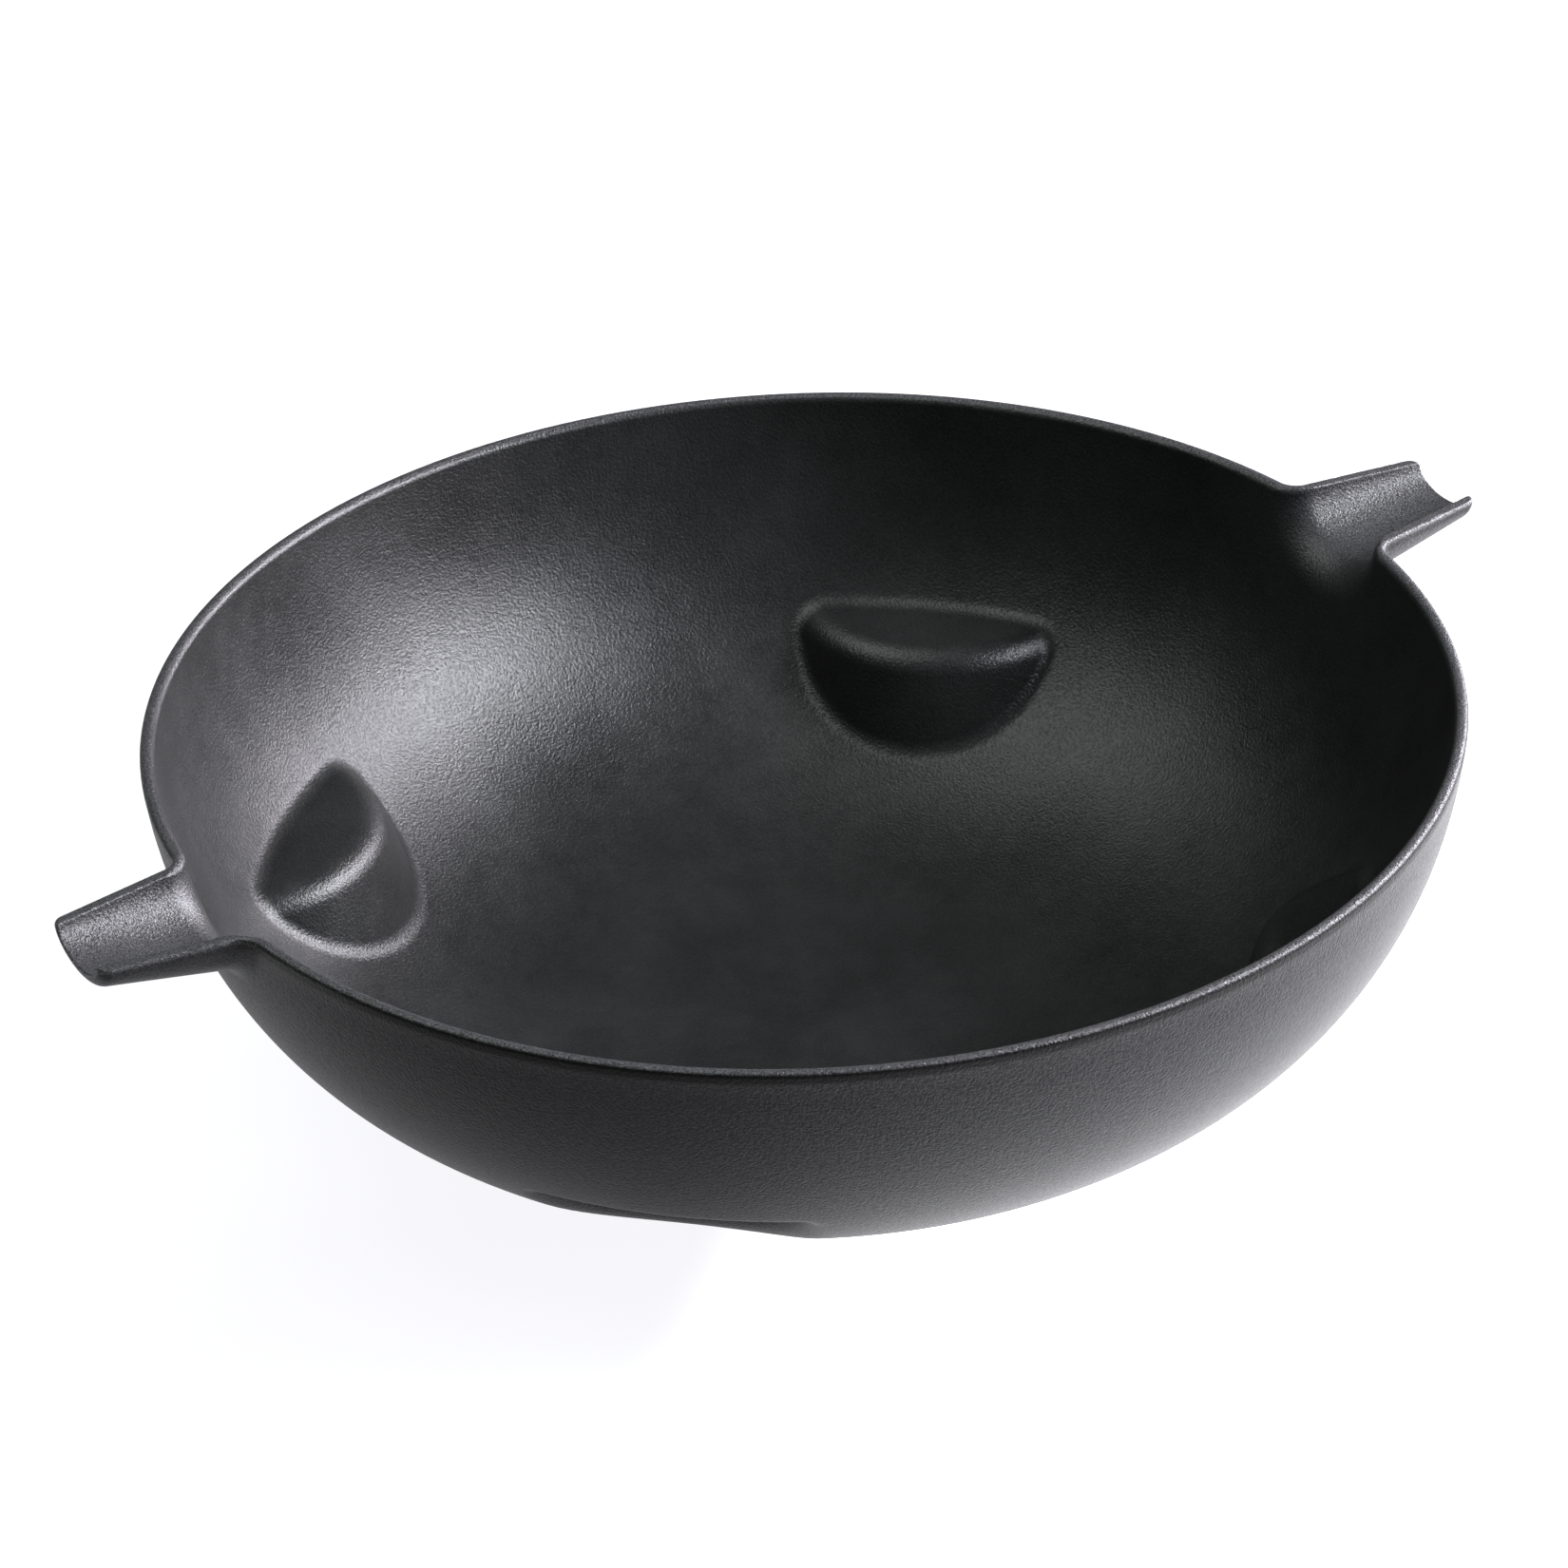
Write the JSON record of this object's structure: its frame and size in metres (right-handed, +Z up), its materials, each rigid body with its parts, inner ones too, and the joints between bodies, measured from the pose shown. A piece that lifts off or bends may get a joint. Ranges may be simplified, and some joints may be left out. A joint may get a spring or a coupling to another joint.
{
  "type": "grill wok",
  "caption": "Cast-iron grill wok: a deep round bowl with open trough handles that also pour, and ledges moulded into its wall that hang it in the ring of a grill grate.",
  "frame": {"origin": "centre of the flat base that the wok stands on", "axes": "+Z up out of the bowl, +X along the handles"},
  "size_m": [0.434, 0.3596, 0.108],
  "materials": {
    "cast_iron": "satin black, fine sand-cast grain"
  },
  "bodies": {
    "root": {"bowl": "cast_iron", "handle_right": "cast_iron", "handle_left": "cast_iron", "ledge_back_right": "cast_iron", "ledge_back_left": "cast_iron", "ledge_front_left": "cast_iron", "ledge_front_right": "cast_iron"}
  },
  "joints": []
}
